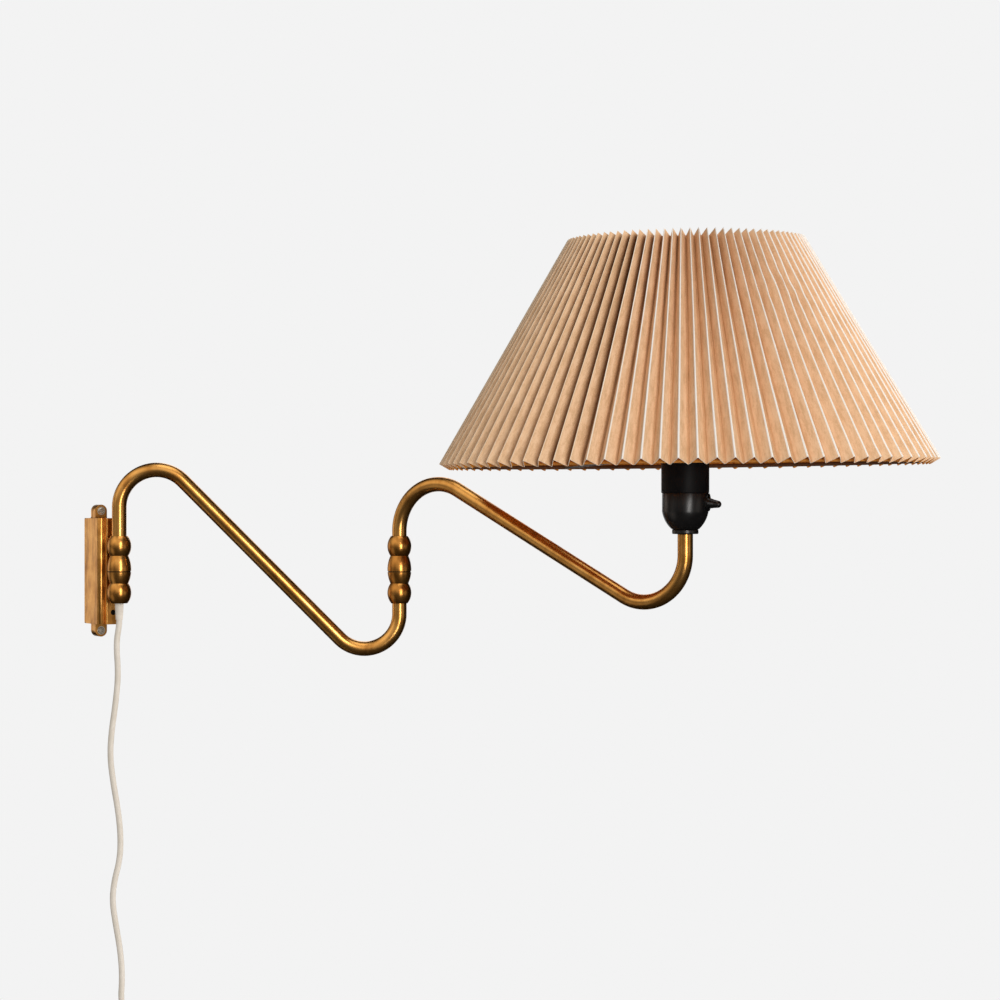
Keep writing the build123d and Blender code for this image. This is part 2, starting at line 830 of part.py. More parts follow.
def cord_tie():
    """Strap round the top of the wound cord, clear of every turn."""
    points = [coil_point(degree / 360) for degree in range(360 * coil_turns)]
    heights = [p.Z for p in points if abs(p.X - coil_x) < tie_w / 2 and p.Z > coil_z]
    room = cord_r + touch_gap
    low_z = min(heights) - room
    top_z = max(heights) + room
    depth = coil_step + 2 * room
    hole = RectangleRounded(depth, top_z - low_z, tie_corner_r - tie_t)
    strap = RectangleRounded(depth + 2 * tie_t, top_z - low_z + 2 * tie_t, tie_corner_r) - hole
    middle = (coil_x, -pivot_out - coil_step / 2, (low_z + top_z) / 2)
    return Pos(*middle) * extrude(Plane.YZ * strap, tie_w / 2, both=True)


def plug_frame():
    """Frame at the end of the wound cord's tail, with Z along the tail and X away from the wall."""
    return Plane(coil_end(), x_dir=(0, -1, 0), z_dir=coil_direction(coil_turns))


def plug_body():
    """Flat plug with sloped shoulders, and a tapered neck that takes the cord."""
    half_w = plug_w / 2
    low = plug_neck_h
    top = plug_neck_h + plug_h
    neck_end_r = cord_r + plug_neck_end_wall
    outline = Polyline(
        (-neck_end_r, low),
        (neck_end_r, low),
        (half_w, low + plug_shoulder),
        (half_w, top - plug_nose),
        (half_w - plug_nose, top),
        (plug_nose - half_w, top),
        (-half_w, top - plug_nose),
        (-half_w, low + plug_shoulder),
        close=True,
    )
    slab = extrude(Plane.XZ * make_face(outline), plug_t / 2, both=True)
    slab = fillet(slab.edges().filter_by(Plane.XZ), plug_edge_r)
    neck_end = low + plug_shoulder / 2
    neck_line = Polyline(
        (0, 0),
        (cord_r + plug_neck_wall, 0),
        (neck_end_r, low),
        (neck_end_r, neck_end),
        (0, neck_end),
        close=True,
    )
    return plug_frame() * (slab + turned(neck_line))


def plug_pins():
    foot = plug_neck_h + plug_h
    pin = rod(plug_pin_r, foot, foot + plug_pin_l)
    pin = fillet(pin.edges().group_by(Axis.Z)[-1], plug_pin_edge_r)
    sides = (-plug_pin_spacing / 2, plug_pin_spacing / 2)
    return Compound([plug_frame() * (Pos(x, 0, 0) * pin) for x in sides])


# Every node with its solid in place
def all_nodes():
    at_wall = Pos(*wall_axis)
    at_elbow = Pos(*elbow_axis)
    at_socket = Pos(*socket_axis)
    return {
        "wall_plate": wall_plate(),
        "bracket_body": bracket_body(),
        "pivot_bar": pivot_bar(),
        "bar_screw": bar_screw(),
        "knuckle_screws": knuckle_screws(),
        "wall_lower_knuckle": wall_lower_knuckle(),
        "wall_pivot_sleeve": at_wall * pivot_sleeve(),
        "wall_thrust_washer": at_wall * thrust_washer(),
        "wall_pivot_nut": at_wall * pivot_nut(),
        "wall_flex": at_wall * wall_flex(),
        "strain_relief": at_wall * strain_relief(),
        "cord_tube": cord_tube(),
        "cord_coil": cord_coil(),
        "cord_tie": cord_tie(),
        "plug_body": plug_body(),
        "plug_pins": plug_pins(),
        "wall_upper_knuckle": at_wall * upper_knuckle(),
        "arm_1_tube": arm_1_tube(),
        "arm_1_flex": arm_1_flex(),
        "elbow_lower_knuckle": at_elbow * lower_knuckle(tube_r + seat_gap, lower_seat_z),
        "elbow_pivot_sleeve": at_elbow * pivot_sleeve(),
        "elbow_thrust_washer": at_elbow * thrust_washer(),
        "elbow_pivot_nut": at_elbow * pivot_nut(),
        "elbow_upper_knuckle": at_elbow * upper_knuckle(),
        "arm_2_tube": arm_2_tube(),
        "arm_2_flex": arm_2_flex(),
        "socket_nipple": at_socket * socket_nipple(),
        "socket_lock_ring": at_socket * socket_lock_ring(),
        "socket_cap": at_socket * socket_cap(),
        "socket_barrel": at_socket * socket_barrel(),
        "socket_insulator": at_socket * socket_insulator(),
        "screw_shell": at_socket * screw_shell(),
        "centre_contact": at_socket * centre_contact(),
        "switch_bush": at_socket * switch_bush(),
        "switch_body": at_socket * switch_body(),
        "toggle_pin": at_socket * toggle_pin(),
        "switch_toggle": at_socket * switch_toggle(),
        "shade_fitter_ring": at_socket * shade_fitter_ring(),
        "shade_spokes": at_socket * shade_spokes(),
        "shade_low_hoop": at_socket * settled(hoop(low_hoop_z)),
        "shade_retaining_ring": at_socket * shade_retaining_ring(),
        "shade_top_hoop": at_socket * settled(hoop(top_hoop_z)),
        "pleated_shade": at_socket * settled(pleated_shade()),
    }


os.makedirs("parts", exist_ok=True)
for node, solid in all_nodes().items():
    export_step(solid, f"parts/{node}.step")
print("wound cord length %.1f, least gap to itself %.2f" % (coil_path().length, coil_self_gap()))
print("elbow axis", elbow_axis, "socket axis", socket_axis)
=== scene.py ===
import json
from math import asin, atan2, cos, exp, hypot, pi, radians, sin, sqrt

import bmesh
import bpy
from mathutils import Matrix, Vector, noise


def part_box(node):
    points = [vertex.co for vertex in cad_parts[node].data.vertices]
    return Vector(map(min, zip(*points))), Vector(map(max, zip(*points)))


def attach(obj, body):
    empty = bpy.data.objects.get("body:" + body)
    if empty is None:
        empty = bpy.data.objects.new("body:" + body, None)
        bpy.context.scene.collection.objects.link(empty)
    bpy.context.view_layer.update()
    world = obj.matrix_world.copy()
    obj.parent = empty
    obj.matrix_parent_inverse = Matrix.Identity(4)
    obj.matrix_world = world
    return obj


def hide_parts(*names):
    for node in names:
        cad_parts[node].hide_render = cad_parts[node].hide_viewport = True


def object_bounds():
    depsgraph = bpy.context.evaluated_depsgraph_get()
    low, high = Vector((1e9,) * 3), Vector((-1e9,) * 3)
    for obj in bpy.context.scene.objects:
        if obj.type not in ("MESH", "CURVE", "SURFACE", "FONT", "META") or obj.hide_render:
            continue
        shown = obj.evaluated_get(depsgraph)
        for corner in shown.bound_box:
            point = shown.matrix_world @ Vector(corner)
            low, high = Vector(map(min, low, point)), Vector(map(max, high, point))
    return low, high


# Looks of the articulated wall lamp, in metres, in the frame of its solids:
# the origin is midway between the wall screws, on the wall plane, and +Z is up.
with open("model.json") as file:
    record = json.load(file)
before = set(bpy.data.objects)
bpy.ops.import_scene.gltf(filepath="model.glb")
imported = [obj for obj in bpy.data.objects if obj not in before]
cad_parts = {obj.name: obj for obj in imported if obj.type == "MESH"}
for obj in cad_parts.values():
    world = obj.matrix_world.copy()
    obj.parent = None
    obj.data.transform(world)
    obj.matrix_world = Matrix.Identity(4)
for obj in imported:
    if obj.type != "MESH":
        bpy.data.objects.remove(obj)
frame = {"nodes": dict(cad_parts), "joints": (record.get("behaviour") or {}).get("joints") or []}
cad_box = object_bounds()
nodes = frame["nodes"]
joints = {joint["name"]: joint for joint in frame["joints"]}

# Axes read from the frame
up = Vector((0, 0, 1))
wall_axis = Vector(joints["wall_swing"]["pos_m"])
elbow_axis = Vector(joints["elbow_swing"]["pos_m"])
barrel_low, barrel_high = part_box("socket_barrel")
socket_axis = Vector(((barrel_low.x + barrel_high.x) / 2, (barrel_low.y + barrel_high.y) / 2, 0))

# Camera, level and turned to the lamp's left
view_azimuth = radians(-31)
view_forward = Vector((-sin(view_azimuth), cos(view_azimuth), 0))
view_right = Vector((cos(view_azimuth), sin(view_azimuth), 0))
camera_distance = 2.200
camera_beside_socket = 0.1482
camera_height = 0.0611
camera_lens = 99.0
camera_sensor = 36.0

# Arms
tube_r = 0.0062
tube_wall = 0.00115
arm_1_bends = (0.0318, 0.0298)
arm_2_bends = (0.0400, 0.0384)
seat_top_z = 0.0180
seat_low_z = -0.0170
tube_sides = 40
tube_step = 0.0015
tube_rim = 0.0004

# Pleated shade
shade_low_r = 0.200
shade_top_r = 0.095
shade_h = 0.1779
shade_low_z = 0.0924
pleat_count = 90
pleat_width = 0.0122
pleat_phase = -123.0
settle_angle = radians(-31)
settle_aside = 0.00265
settle_tilt = radians(0.7)
settle_z = 0.0968
sheet_t = 0.0005
crease_half = 0.0010
shade_rows = 48
hoop_wire_r = 0.0017

# Unevenness of the sheet: a crease's sway along it, its shift as a whole, its swell, and the sag of a face
crease_sway = 0.0006
crease_shift = 0.0005
crease_swell = 0.0004
face_sag = 0.0005

# Wrinkled places as middle crease, creases across, height share, shares across and sideways shift
wrinkles = ((18, 4.0, 0.74, 0.10, 0.0034), (22, 2.5, 0.07, 0.05, 0.0022))

# Creases take painted light by how far they face the light: whiter ridges and lighter valleys towards it,
# darker valleys away from it; fold values at a crease and beside it, away from the light and towards it
lit_angle = radians(-86)
lit_from = 0.42
lit_fade = 0.20
valley_folds = ((0.000, 0.050), (0.060, 0.100))
ridge_folds = ((0.950, 0.893), (1.000, 0.960))

# Cord: the hanging bends as (x, y from the swing axis, z), then the coil it is wound into
cord_r = 0.0025
relief_end_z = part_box("strain_relief")[0].z
cord_bends = [
    (0.0, 0.0, -0.046),
    (-0.0030, -0.0003, -0.061),
    (-0.0010, -0.0007, -0.088),
    (-0.0040, -0.0010, -0.114),
    (-0.0074, -0.0004, -0.137),
    (-0.0082, 0.0006, -0.158),
    (-0.0049, 0.0010, -0.181),
    (-0.0008, 0.0004, -0.204),
    (0.0011, -0.0006, -0.225),
    (0.0003, -0.0010, -0.245),
    (-0.0048, -0.0003, -0.264),
    (-0.0062, 0.0006, -0.281),
    (-0.0028, 0.0009, -0.301),
    (0.0012, 0.0002, -0.324),
    (0.0027, -0.0004, -0.346),
    (0.0010, -0.0005, -0.368),
]
coil_x = -0.014
coil_z = -0.436
coil_out_r = 0.0395
coil_step = 0.0056
coil_turns = 7
coil_start_angle = radians(28)
coil_lead = 0.005
coil_tail = 0.014
coil_points_per_turn = 24
last_run = 0.022

# Heads of the wall screws: outline as (radius, height) from the ear's front, and the steps painted
# near-black as shade in the gap round the head and in its socket
ear_front_out = 0.0103
ear_r = 0.0054
screw_outline = (
    (0.0036, 0.00003),
    (0.0036, 0.0002),
    (0.0028, 0.0002),
    (0.0027, 0.0006),
    (0.0023, 0.0009),
    (0.0017, 0.0009),
    (0.0015, 0.0002),
    (0.0006, 0.0001),
)
screw_shade_steps = (0, 1, 5, 6)

# Rounded edges of the bracket and of the black mouldings
bracket_edge = 0.0008
moulded_edge = 0.0004


# Mesh helpers
def add_mesh(name, verts, faces, body, smooth=True):
    """New mesh piece that rides on a body."""
    mesh = bpy.data.meshes.new(name)
    mesh.from_pydata([tuple(v) for v in verts], [], faces)
    mesh.polygons.foreach_set("use_smooth", [smooth] * len(mesh.polygons))
    mesh.update()
    piece = bpy.data.objects.new(name, mesh)
    bpy.context.scene.collection.objects.link(piece)
    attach(piece, body)
    return piece


def paint(piece, *materials):
    """Give a piece its materials in place of any that it has."""
    piece.data.materials.clear()
    for material in materials:
        piece.data.materials.append(material)


def soften(piece, width, angle=35):
    """Small rounded edge wherever two faces meet more sharply than an angle."""
    weld = piece.modifiers.new("weld", "WELD")
    weld.merge_threshold = 0.00001
    bevel = piece.modifiers.new("bevel", "BEVEL")
    bevel.width = width
    bevel.segments = 3
    bevel.limit_method = "ANGLE"
    bevel.angle_limit = radians(angle)
    bevel.harden_normals = True


def lathe(name, profile, centre, axis, body, dark=(), sides=40):
    """Turned piece about an axis, from a profile of (radius, height); dark steps take a second finish."""
    turn_to = axis.to_track_quat("Z", "Y").to_matrix()
    verts = []
    for r, h in profile:
        for side in range(sides):
            angle = 2 * pi * side / sides
            verts.append(centre + turn_to @ Vector((r * cos(angle), r * sin(angle), h)))
    faces = [tuple(reversed(range(sides)))]
    for step in range(len(profile) - 1):
        for side in range(sides):
            beside = (side + 1) % sides
            low = step * sides
            top = low + sides
            faces.append((low + side, low + beside, top + beside, top + side))
    faces.append(tuple(range((len(profile) - 1) * sides, len(profile) * sides)))
    piece = add_mesh(name, verts, faces, body, smooth=False)
    for step in dark:
        for side in range(sides):
            piece.data.polygons[1 + step * sides + side].material_index = 1
    return piece


# Material helpers
class Shader:
    """A material's node tree with short ways to add and join nodes."""

    def __init__(self, name):
        self.material = bpy.data.materials.new(name)
        self.material.use_nodes = True
        self.tree = self.material.node_tree
        self.surface = self.tree.nodes["Principled BSDF"]

    def add(self, kind, **settings):
        node = self.tree.nodes.new(kind)
        for key, value in settings.items():
            setattr(node, key, value)
        return node

    def join(self, source, target):
        self.tree.links.new(source, target)

    def put(self, **values):
        """Plain values on the surface shader's own sockets."""
        for key, value in values.items():
            self.surface.inputs[key.replace("_", " ")].default_value = value

    def noise(self, vector, scale, detail=3.0, rough=0.55):
        node = self.add("ShaderNodeTexNoise")
        node.inputs["Scale"].default_value = scale
        node.inputs["Detail"].default_value = detail
        node.inputs["Roughness"].default_value = rough
        self.join(vector, node.inputs["Vector"])
        return node.outputs["Fac"]

    def stretch(self, vector, scale):
        node = self.add("ShaderNodeVectorMath", operation="MULTIPLY")
        node.inputs[1].default_value = scale
        self.join(vector, node.inputs[0])
        return node.outputs["Vector"]

    def ramp(self, value, *stops):
        """Colour ramp over a value, from (place, colour) stops."""
        node = self.add("ShaderNodeValToRGB")
        points = node.color_ramp.elements
        for point, (place, colour) in zip(points, (stops[0], stops[-1])):
            point.position = place
            point.color = (*colour, 1)
        for place, colour in stops[1:-1]:
            points.new(place).color = (*colour, 1)
        self.join(value, node.inputs["Fac"])
        return node.outputs["Color"]

    def span(self, value, low, high):
        """A 0 to 1 value mapped to another range."""
        node = self.add("ShaderNodeMapRange")
        node.inputs["To Min"].default_value = low
        node.inputs["To Max"].default_value = high
        self.join(value, node.inputs["Value"])
        return node.outputs["Result"]

    def mix(self, share, first, second, blend="MIX"):
        node = self.add("ShaderNodeMix", data_type="RGBA", blend_type=blend)
        for source, place in ((share, 0), (first, 6), (second, 7)):
            if hasattr(source, "links"):
                self.join(source, node.inputs[place])
            else:
                node.inputs[place].default_value = source
        return node.outputs[2]

    def bump(self, height, distance, strength=1.0, under=None):
        node = self.add("ShaderNodeBump")
        node.inputs["Distance"].default_value = distance
        node.inputs["Strength"].default_value = strength
        self.join(height, node.inputs["Height"])
        if under is not None:
            self.join(under, node.inputs["Normal"])
        return node.outputs["Normal"]

    def place(self):
        return self.add("ShaderNodeTexCoord").outputs["Object"]

    def uv(self):
        return self.add("ShaderNodeTexCoord").outputs["UV"]


def brass(name, brushing, along_uv=False, stain=0.0, shade_reach=0.0025, browned=0.0):
    """Aged brass: golden where it is rubbed, brown where patina stays, darker in crevices from patina and
    painted shade, with fine brushing.
    """
    shader = Shader(name)
    place = shader.place()
    patina = shader.noise(place, 60.0, 4.0, 0.6)
    gold = shader.ramp(
        patina,
        (0.30 + browned, (0.52, 0.225, 0.047)),
        (0.50 + browned, (0.72, 0.355, 0.090)),
        (0.72 + browned, (0.84, 0.450, 0.132)),
    )
    spots = shader.noise(shader.stretch(place, (1.0, 1.0, 0.5)), 130.0, 2.0, 0.55)
    smudge = shader.ramp(spots, (0.26, (0.30, 0.165, 0.060)), (0.46, (1.0, 1.0, 1.0)))
    colour = shader.mix(0.40, gold, smudge, "MULTIPLY")
    if stain:
        runs = shader.noise(shader.stretch(place, (230.0, 230.0, 26.0)), 1.0, 4.0, 0.6)
        streak = shader.ramp(runs, (0.36, (0.22, 0.12, 0.045)), (0.52, (1.0, 1.0, 1.0)))
        colour = shader.mix(stain, colour, streak, "MULTIPLY")
    # Painted shade, partly patina kept in hollows: darker wherever other surfaces come near, in crevices
    # and beside neighbouring parts
    crevice = shader.add("ShaderNodeAmbientOcclusion", samples=8)
    crevice.inputs["Distance"].default_value = shade_reach
    painted_light = shader.ramp(crevice.outputs["AO"], (0.22, (0.06, 0.026, 0.008)), (0.66, (1.0, 1.0, 1.0)))
    colour = shader.mix(0.85, colour, painted_light, "MULTIPLY")
    shader.join(colour, shader.surface.inputs["Base Color"])
    lines_at = shader.stretch(shader.uv() if along_uv else place, brushing)
    lines = shader.noise(lines_at, 1.0, 2.0, 0.6)
    shader.join(shader.span(patina, 0.34, 0.23), shader.surface.inputs["Roughness"])
    shader.join(shader.bump(lines, 0.00003, 0.015), shader.surface.inputs["Normal"])
    shader.put(Metallic=1.0)
    return shader.material


def bakelite(name, roughness, shine):
    """Black moulded plastic with a satin surface and faint mottling."""
    shader = Shader(name)
    place = shader.place()
    cloud = shader.noise(place, 120.0, 4.0)
    colour = shader.ramp(cloud, (0.3, (0.0025, 0.0025, 0.0032)), (0.7, (0.0060, 0.0055, 0.0060)))
    shader.join(colour, shader.surface.inputs["Base Color"])
    fine = shader.noise(place, 2600.0, 2.0)
    shader.join(shader.span(cloud, roughness * 0.85, roughness * 1.15), shader.surface.inputs["Roughness"])
    shader.join(shader.bump(fine, 0.00002, 0.3), shader.surface.inputs["Normal"])
    shader.surface.inputs["Specular IOR Level"].default_value = shine
    return shader.material


def paper(name, low, middle, high, folds=None, shadow_reach=0.012, unlit_side_shade=-0.28, fold_shade_lift=0.35):
    """Sheet with a fine woven grain and faint clouding; if folded, painted shade in the valleys and pale
    ridges, whiter as a painted highlight towards the light.
    """
    shader = Shader(name)
    uv = shader.uv()
    across = shader.noise(shader.stretch(uv, (520.0, 5200.0, 1.0)), 1.0, 2.0, 0.6)
    along = shader.noise(shader.stretch(uv, (5200.0, 420.0, 1.0)), 1.0, 2.0, 0.6)
    weave = shader.mix(0.5, across, along)
    cloud = shader.noise(shader.stretch(uv, (420.0, 60.0, 1.0)), 1.0, 5.0, 0.7)
    grain = shader.mix(0.55, weave, cloud)
    colour = shader.ramp(grain, (0.43, low), (0.50, middle), (0.57, high))
    if folds is not None:
        valley_shade_colour, unlit_ridge_colour, lit_ridge_colour = folds
        fold = shader.add("ShaderNodeAttribute", attribute_name="fold").outputs["Fac"]
        # Painted shade: darker towards each valley's crease
        painted_valley_shade = shader.ramp(fold, (0.0, valley_shade_colour), (0.06, (0.74, 0.64, 0.55)), (0.22, (1.0, 1.0, 1.0)))
        colour = shader.mix(1.0, colour, painted_valley_shade, "MULTIPLY")
        # Painted shade in the folds: darker where the paper is closely surrounded, darker still on the side
        # away from the light, lighter towards the top
        depth = shader.add("ShaderNodeAmbientOcclusion", samples=8)
        depth.inputs["Distance"].default_value = shadow_reach
        painted_light = shader.add("ShaderNodeAttribute", attribute_name="painted_light").outputs["Fac"]
        openness = shader.add("ShaderNodeMath", operation="ADD")
        shader.join(depth.outputs["AO"], openness.inputs[0])
        shader.join(shader.span(painted_light, unlit_side_shade, 0.0), openness.inputs[1])
        height = shader.add("ShaderNodeSeparateXYZ")
        shader.join(uv, height.inputs[0])
        lifted = shader.add("ShaderNodeMath", operation="MULTIPLY_ADD")
        shader.join(height.outputs["Y"], lifted.inputs[0])
        lifted.inputs[1].default_value = fold_shade_lift
        shader.join(openness.outputs[0], lifted.inputs[2])
        # Colours of the painted fold shade
        painted_fold_shade = shader.ramp(
            lifted.outputs[0],
            (0.05, (0.24, 0.15, 0.09)),
            (0.20, (0.76, 0.67, 0.58)),
            (0.36, (1.0, 1.0, 1.0)),
        )
        colour = shader.mix(1.0, colour, painted_fold_shade, "MULTIPLY")
        # Pale crease line on each ridge: cream away from the light, whiter as a painted highlight towards
        # it
        edge = shader.ramp(fold, (0.900, (0.0, 0.0, 0.0)), (0.925, (1.0, 1.0, 1.0)))
        ridge = shader.ramp(painted_light, (0.0, unlit_ridge_colour), (1.0, lit_ridge_colour))
        colour = shader.mix(edge, colour, ridge)
    shader.join(colour, shader.surface.inputs["Base Color"])
    shader.join(shader.bump(weave, 0.00006, 0.5), shader.surface.inputs["Normal"])
    shader.put(Roughness=0.82)
    shader.surface.inputs["Specular IOR Level"].default_value = 0.25
    return shader.material


def soft_plastic(name, low, high, roughness):
    """Smooth flexible plastic with faint clouding."""
    shader = Shader(name)
    place = shader.place()
    cloud = shader.noise(place, 90.0, 3.0)
    shader.join(shader.ramp(cloud, (0.35, low), (0.65, high)), shader.surface.inputs["Base Color"])
    fine = shader.noise(place, 1800.0, 2.0)
    shader.join(shader.bump(fine, 0.00002, 0.25), shader.surface.inputs["Normal"])
    shader.put(Roughness=roughness)
    return shader.material


def plain_metal(name, low, high, roughness):
    """Drawn metal with fine scratches."""
    shader = Shader(name)
    place = shader.place()
    scratch = shader.noise(shader.stretch(place, (900.0, 900.0, 160.0)), 1.0, 4.0)
    shader.join(shader.ramp(scratch, (0.35, low), (0.65, high)), shader.surface.inputs["Base Color"])
    shader.join(shader.span(scratch, roughness * 0.8, roughness * 1.2), shader.surface.inputs["Roughness"])
    shader.join(shader.bump(scratch, 0.00002, 0.3), shader.surface.inputs["Normal"])
    shader.put(Metallic=1.0)
    return shader.material


def taped_wire(name, centre, radius, wire_r):
    """Wire hoop bound in paper: golden on the side that meets the lampshade's paper, with painted shade
    making its inner side dark brown.
    """
    shader = Shader(name)
    place = shader.place()
    away = shader.add("ShaderNodeVectorMath", operation="DISTANCE")
    away.inputs[1].default_value = centre
    shader.join(place, away.inputs[0])
    # Painted shade: the wire's half towards the lampshade's axis is dark brown, the half towards the paper
    # golden
    side = shader.add("ShaderNodeMapRange", interpolation_type="SMOOTHSTEP")
    side.inputs["From Min"].default_value = radius - wire_r * 0.5
    side.inputs["From Max"].default_value = radius + wire_r * 0.7
    shader.join(away.outputs["Value"], side.inputs["Value"])
    fibres = shader.noise(place, 900.0, 3.0)
    painted_shade_within = shader.ramp(fibres, (0.35, (0.085, 0.030, 0.008)), (0.65, (0.140, 0.052, 0.014)))
    outer = shader.ramp(fibres, (0.35, (0.52, 0.185, 0.016)), (0.65, (0.70, 0.280, 0.032)))
    shader.join(shader.mix(side.outputs["Result"], painted_shade_within, outer), shader.surface.inputs["Base Color"])
    shader.join(shader.bump(fibres, 0.00004, 0.4), shader.surface.inputs["Normal"])
    shader.put(Roughness=0.8)
    return shader.material


turned_brass = brass("turned_brass", (30.0, 30.0, 2600.0), shade_reach=0.005, browned=0.12)
tube_brass = brass("tube_brass", (700.0, 14.0, 1.0), along_uv=True)
# Near-black washers between the knuckles: a painted shade line at the seams
seam_shade_metal = plain_metal("seam_shade_metal", (0.10, 0.052, 0.016), (0.17, 0.090, 0.028), 0.45)
# The bracket's wider reach paints shade on it beside the knuckles and the bar
upright_brass = brass("upright_brass", (1500.0, 1500.0, 24.0), stain=0.45, shade_reach=0.010)
black_satin = bakelite("black_satin", 0.32, 0.60)
black_matt = bakelite("black_matt", 0.50, 0.16)
paper_outside = paper(
    "paper_outside",
    (0.72, 0.465, 0.262),
    (0.84, 0.556, 0.332),
    (0.91, 0.635, 0.405),
    # Folds: colour of the painted valley shade, then the ridge colour away from the light and the whiter
    # painted highlight towards it
    folds=((0.24, 0.15, 0.09), (0.96, 0.78, 0.58), (0.98, 0.94, 0.88)),
)
paper_inside = paper("paper_inside", (0.52, 0.185, 0.016), (0.64, 0.240, 0.024), (0.72, 0.295, 0.038))
paper_edge = paper("paper_edge", (0.88, 0.74, 0.58), (0.94, 0.82, 0.68), (0.97, 0.87, 0.75))
cord_cream = soft_plastic("cord_cream", (0.80, 0.73, 0.63), (0.87, 0.80, 0.71), 0.42)
plug_cream = soft_plastic("plug_cream", (0.72, 0.66, 0.58), (0.79, 0.73, 0.65), 0.36)
porcelain = soft_plastic("porcelain", (0.74, 0.72, 0.68), (0.82, 0.80, 0.77), 0.18)
wire_steel = plain_metal("wire_steel", (0.42, 0.41, 0.40), (0.58, 0.57, 0.55), 0.34)
contact_brass = plain_metal("contact_brass", (0.62, 0.43, 0.17), (0.78, 0.57, 0.26), 0.26)
hoop_low, hoop_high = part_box("shade_low_hoop")
hoop_r = (hoop_high.x - hoop_low.x) / 2 - hoop_wire_r
taped_hoop = taped_wire("taped_hoop", (hoop_low + hoop_high) / 2, hoop_r, hoop_wire_r)
painted_wire = soft_plastic("painted_wire", (0.24, 0.105, 0.030), (0.32, 0.150, 0.045), 0.6)
screw_steel = plain_metal("screw_steel", (0.58, 0.52, 0.44), (0.76, 0.70, 0.61), 0.28)
# Near-black steel: the bar screw's head, and painted shade on the wall screw heads
screw_dark = plain_metal("screw_dark", (0.012, 0.011, 0.010), (0.030, 0.027, 0.024), 0.45)
tie_black = soft_plastic("tie_black", (0.018, 0.017, 0.016), (0.040, 0.038, 0.036), 0.8)


# Arms
def arm_outline(reach, bends, start_z, top_z, low_z, end_z):
    """Points of an arm's centre line as (along, up): up, over an arch, down a slope, and up again."""
    arch_r, sag_r = bends
    drop = (top_z - arch_r) - (low_z + sag_r)
    span = reach - arch_r - sag_r
    turn = pi / 2 + atan2(drop, span) + asin((arch_r + sag_r) / hypot(drop, span))
    arc_steps = int(arch_r * turn / tube_step)
    line = [(0.0, start_z), (0.0, start_z + tube_rim)]
    for step in range(arc_steps + 1):
        angle = turn * step / arc_steps
        line.append((arch_r - arch_r * cos(angle), top_z - arch_r + arch_r * sin(angle)))
    for step in range(arc_steps + 1):
        angle = turn * (1 - step / arc_steps)
        line.append((reach - sag_r + sag_r * cos(angle), low_z + sag_r - sag_r * sin(angle)))
    line += [(reach, end_z - tube_rim), (reach, end_z)]
    return line


def arm_tube(name, node, foot, head, bends, body, ends_z):
    """Hollow brass tube from one axis to the next, with a UV of metres around and along it."""
    low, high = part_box(node)
    across = Vector((head.x - foot.x, head.y - foot.y, 0))
    ahead = across.normalized()
    side = up.cross(ahead)
    start_z, end_z = ends_z
    line = arm_outline(across.length, bends, start_z, high.z - tube_r, low.z + tube_r, end_z)
    points = [Vector((foot.x, foot.y, 0)) + ahead * a + up * z for a, z in line]
    verts, faces, along = [], [], [0.0]
    for before, here in zip(points, points[1:]):
        along.append(along[-1] + (here - before).length)
    rings = []
    for index, point in enumerate(points):
        near = points[max(index - 1, 0)]
        far = points[min(index + 1, len(points) - 1)]
        normal = side.cross((far - near).normalized())
        rings.append((point, normal))
    loops = [(p, n, tube_r) for p, n in rings] + [(p, n, tube_r - tube_wall) for p, n in reversed(rings)]
    places = along + along[::-1]
    for point, normal, radius in loops:
        for index in range(tube_sides):
            angle = 2 * pi * index / tube_sides
            verts.append(point + (normal * cos(angle) + side * sin(angle)) * radius)
    for loop in range(len(loops)):
        following = (loop + 1) % len(loops)
        for index in range(tube_sides):
            beside = (index + 1) % tube_sides
            faces.append(
                (
                    loop * tube_sides + index,
                    loop * tube_sides + beside,
                    following * tube_sides + beside,
                    following * tube_sides + index,
                )
            )
    piece = add_mesh(name, verts, faces, body)
    uv = piece.data.uv_layers.new(name="UVMap")
    girth = 2 * pi * tube_r
    for polygon in piece.data.polygons:
        loop, index = divmod(polygon.index, tube_sides)
        following = (loop + 1) % len(loops)
        corners = ((loop, index), (loop, index + 1), (following, index + 1), (following, index))
        for loop_index, (ring, turn_index) in zip(polygon.loop_indices, corners):
            uv.data[loop_index].uv = (girth * turn_index / tube_sides, places[ring])
    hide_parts(node)
    paint(piece, tube_brass)
    return piece


lock_ring_low_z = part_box("socket_lock_ring")[0].z
arm_1_ends = (seat_top_z, seat_low_z)
arm_2_ends = (seat_top_z, lock_ring_low_z)
arm_tube("arm_1_brass", "arm_1_tube", wall_axis, elbow_axis, arm_1_bends, "arm_1", arm_1_ends)
arm_tube("arm_2_brass", "arm_2_tube", elbow_axis, socket_axis, arm_2_bends, "arm_2", arm_2_ends)


# Shade
shade_slope = atan2(shade_low_r - shade_top_r, shade_h)


def valley_end(ridge_r, ridge_z):
    """Radius and height of the valley's end beside a ridge's end, square to the crease."""
    half_pitch = ridge_r * pi / pleat_count
    depth = sqrt(pleat_width**2 - half_pitch**2)
    return ridge_r - depth * cos(shade_slope), ridge_z - depth * sin(shade_slope)


ridge_ends = ((shade_low_r, shade_low_z), (shade_top_r, shade_low_z + shade_h))
valley_ends = [valley_end(*end) for end in ridge_ends]

pivot = Matrix.Translation(socket_axis + up * settle_z) @ Matrix.Rotation(settle_angle, 4, "Z")
tip_up = Matrix.Rotation(-settle_tilt, 4, "Y")
settle = pivot @ Matrix.Translation((settle_aside, 0, 0)) @ tip_up @ pivot.inverted()


